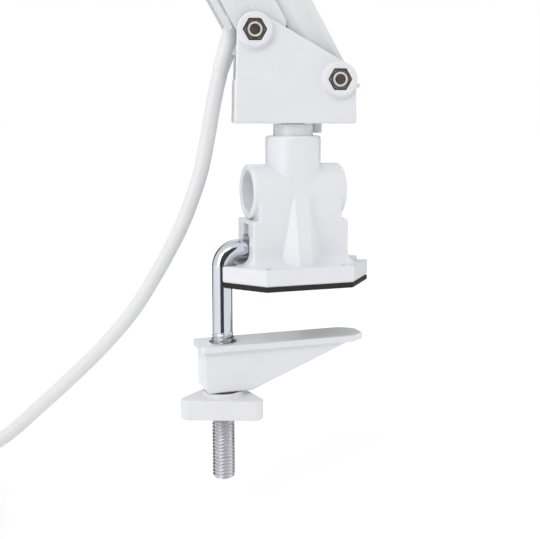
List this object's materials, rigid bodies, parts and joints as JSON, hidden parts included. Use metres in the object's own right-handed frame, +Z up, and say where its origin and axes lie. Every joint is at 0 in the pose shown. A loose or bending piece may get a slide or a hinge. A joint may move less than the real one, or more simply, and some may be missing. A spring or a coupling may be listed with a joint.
{
  "type": "swing arm desk lamp",
  "caption": "Clamp-on desk lamp: cast bracket and hook bolt clamp, swivelling turret, parallelogram arms, bell shade, mains cord and plug.",
  "frame": {"origin": "on the pan axis, at the underside of the rubber pad that rests on the desk", "axes": "+X from the hook bolt towards the jaw's tip, -Y the front of the clamp, +Z up"},
  "size_m": [0.515, 0.1834, 0.6613],
  "materials": {
    "white_cast": "satin painted die casting",
    "white_arm": "satin painted steel",
    "white_shade": "satin painted spun aluminium",
    "white_plastic": "satin moulded plastic",
    "white_cord": "soft matt PVC sheath",
    "rubber_pad": "dark brown foam rubber",
    "chrome_bolt": "bright zinc plating",
    "brass_insert": "turned",
    "opal_bulb": "opal diffuser",
    "zinc_hardware": "zinc plated"
  },
  "bodies": {
    "clamp_bracket": {"bracket_casting": "white_cast", "desk_pad": "rubber_pad", "hook_bolt": "chrome_bolt"},
    "jaw": {"clamp_jaw": "white_cast"},
    "knob": {"clamp_knob": "white_plastic", "knob_insert": "brass_insert"},
    "turret": {"turret_block": "white_cast", "pan_spigot": "white_arm", "cord_strain_relief": "white_plastic", "lower_pivot_a_bolt": "zinc_hardware", "lower_pivot_a_nut": "zinc_hardware", "lower_pivot_b_bolt": "zinc_hardware", "lower_pivot_b_nut": "zinc_hardware", "power_cord": "white_cord", "cord_coil": "white_cord", "cord_tie": "white_plastic", "cord_tail": "white_cord", "plug_body": "white_plastic", "plug_pin_left": "zinc_hardware", "plug_pin_right": "zinc_hardware"},
    "lower_arm_a": {"lower_arm_a_channel": "white_arm", "lower_arm_a_cover": "white_plastic", "lower_arm_a_lead": "white_cord"},
    "lower_arm_b": {"lower_arm_b_channel": "white_arm", "lower_arm_b_foot_bush": "white_plastic", "lower_arm_b_top_bush": "white_plastic"},
    "elbow": {"elbow_front_plate": "white_cast", "elbow_rear_plate": "white_cast", "elbow_spacer": "white_arm", "elbow_lower_a_bolt": "zinc_hardware", "elbow_lower_a_nut": "zinc_hardware", "elbow_lower_b_bolt": "zinc_hardware", "elbow_lower_b_nut": "zinc_hardware", "elbow_upper_a_bolt": "zinc_hardware", "elbow_upper_a_nut": "zinc_hardware", "elbow_upper_b_bolt": "zinc_hardware", "elbow_upper_b_nut": "zinc_hardware"},
    "upper_arm_a": {"upper_arm_a_channel": "white_arm", "upper_arm_a_cover": "white_plastic", "upper_arm_a_lead": "white_cord"},
    "upper_arm_b": {"upper_arm_b_channel": "white_arm", "upper_arm_b_foot_bush": "white_plastic", "upper_arm_b_top_bush": "white_plastic"},
    "head_bracket": {"head_bracket": "white_cast", "head_pivot_a_bolt": "zinc_hardware", "head_pivot_a_nut": "zinc_hardware", "head_pivot_b_bolt": "zinc_hardware", "head_pivot_b_nut": "zinc_hardware"},
    "head_knuckle": {"head_knuckle": "white_cast", "stem_retainer": "zinc_hardware", "tilt_bolt": "zinc_hardware"},
    "tilt_knob": {"tilt_knob": "white_plastic"},
    "lamp_head": {"shade_cap": "white_shade", "shade": "white_shade", "lampholder": "white_plastic", "bulb_screw_cap": "zinc_hardware", "bulb_glass": "opal_bulb"},
    "switch_button": {"switch_button": "white_plastic"}
  },
  "joints": [
    {"name": "jaw_slide", "type": "slide", "parent": "clamp_bracket", "child": "jaw", "axis": [0, 0, 1], "range_m": [-0.02, 0.01]},
    {"name": "knob_spin", "type": "hinge", "parent": "jaw", "child": "knob", "pos_m": [-0.026, 0, -0.042], "axis": [0, 0, 1], "range_deg": [-5765, 2885]},
    {"name": "turret_swivel", "type": "hinge", "parent": "clamp_bracket", "child": "turret", "pos_m": [0, 0, 0.0558], "axis": [0, 0, 1], "range_deg": [-170, 170]},
    {"name": "lower_arm_tilt", "type": "hinge", "parent": "turret", "child": "lower_arm_a", "pos_m": [-0.01364, 0.00315, 0.0863], "axis": [0.225, 0.9744, 0], "range_deg": [-3, 118]},
    {"name": "lower_arm_b_follow", "type": "hinge", "parent": "turret", "child": "lower_arm_b", "pos_m": [0.01423, -0.00328, 0.0703], "axis": [0.225, 0.9744, 0], "range_deg": [-3.5, 118.5]},
    {"name": "elbow_level", "type": "hinge", "parent": "lower_arm_a", "child": "elbow", "pos_m": [-0.19597, 0.04524, 0.41703], "axis": [0.225, 0.9744, 0], "range_deg": [-118.5, 3.5]},
    {"name": "upper_arm_tilt", "type": "hinge", "parent": "elbow", "child": "upper_arm_a", "pos_m": [-0.16673, 0.03849, 0.45504], "axis": [0.225, 0.9744, 0], "range_deg": [-52, 58]},
    {"name": "upper_arm_b_follow", "type": "hinge", "parent": "elbow", "child": "upper_arm_b", "pos_m": [-0.16099, 0.03717, 0.42144], "axis": [0.225, 0.9744, 0], "range_deg": [-52.5, 58.5]},
    {"name": "head_level", "type": "hinge", "parent": "upper_arm_a", "child": "head_bracket", "pos_m": [0.16687, -0.03852, 0.56628], "axis": [0.225, 0.9744, 0], "range_deg": [-58.5, 52.5]},
    {"name": "head_swivel", "type": "hinge", "parent": "head_bracket", "child": "head_knuckle", "pos_m": [0.20575, -0.0475, 0.53068], "axis": [0, 0, 1], "range_deg": [-120, 120]},
    {"name": "head_tilt", "type": "hinge", "parent": "head_knuckle", "child": "lamp_head", "pos_m": [0.20575, -0.0475, 0.50768], "axis": [0.225, 0.9744, 0], "range_deg": [-80, 45]},
    {"name": "tilt_knob_turn", "type": "hinge", "parent": "head_knuckle", "child": "tilt_knob", "pos_m": [0.20822, -0.03678, 0.50768], "axis": [0.225, 0.9744, 0], "range_deg": [0, 360]},
    {"name": "switch_press", "type": "slide", "parent": "lamp_head", "child": "switch_button", "axis": [0, 0, -1], "range_m": [0, 0.0028], "stiffness_N_per_m": 300, "springref_m": -0.002}
  ],
  "couplings": [
    {"joint": "knob_spin", "follows": "jaw_slide", "rad_per_m": 5026.5},
    {"joint": "lower_arm_b_follow", "follows": "lower_arm_tilt", "ratio": 1},
    {"joint": "elbow_level", "follows": "lower_arm_tilt", "ratio": -1},
    {"joint": "upper_arm_b_follow", "follows": "upper_arm_tilt", "ratio": 1},
    {"joint": "head_level", "follows": "upper_arm_tilt", "ratio": -1}
  ]
}
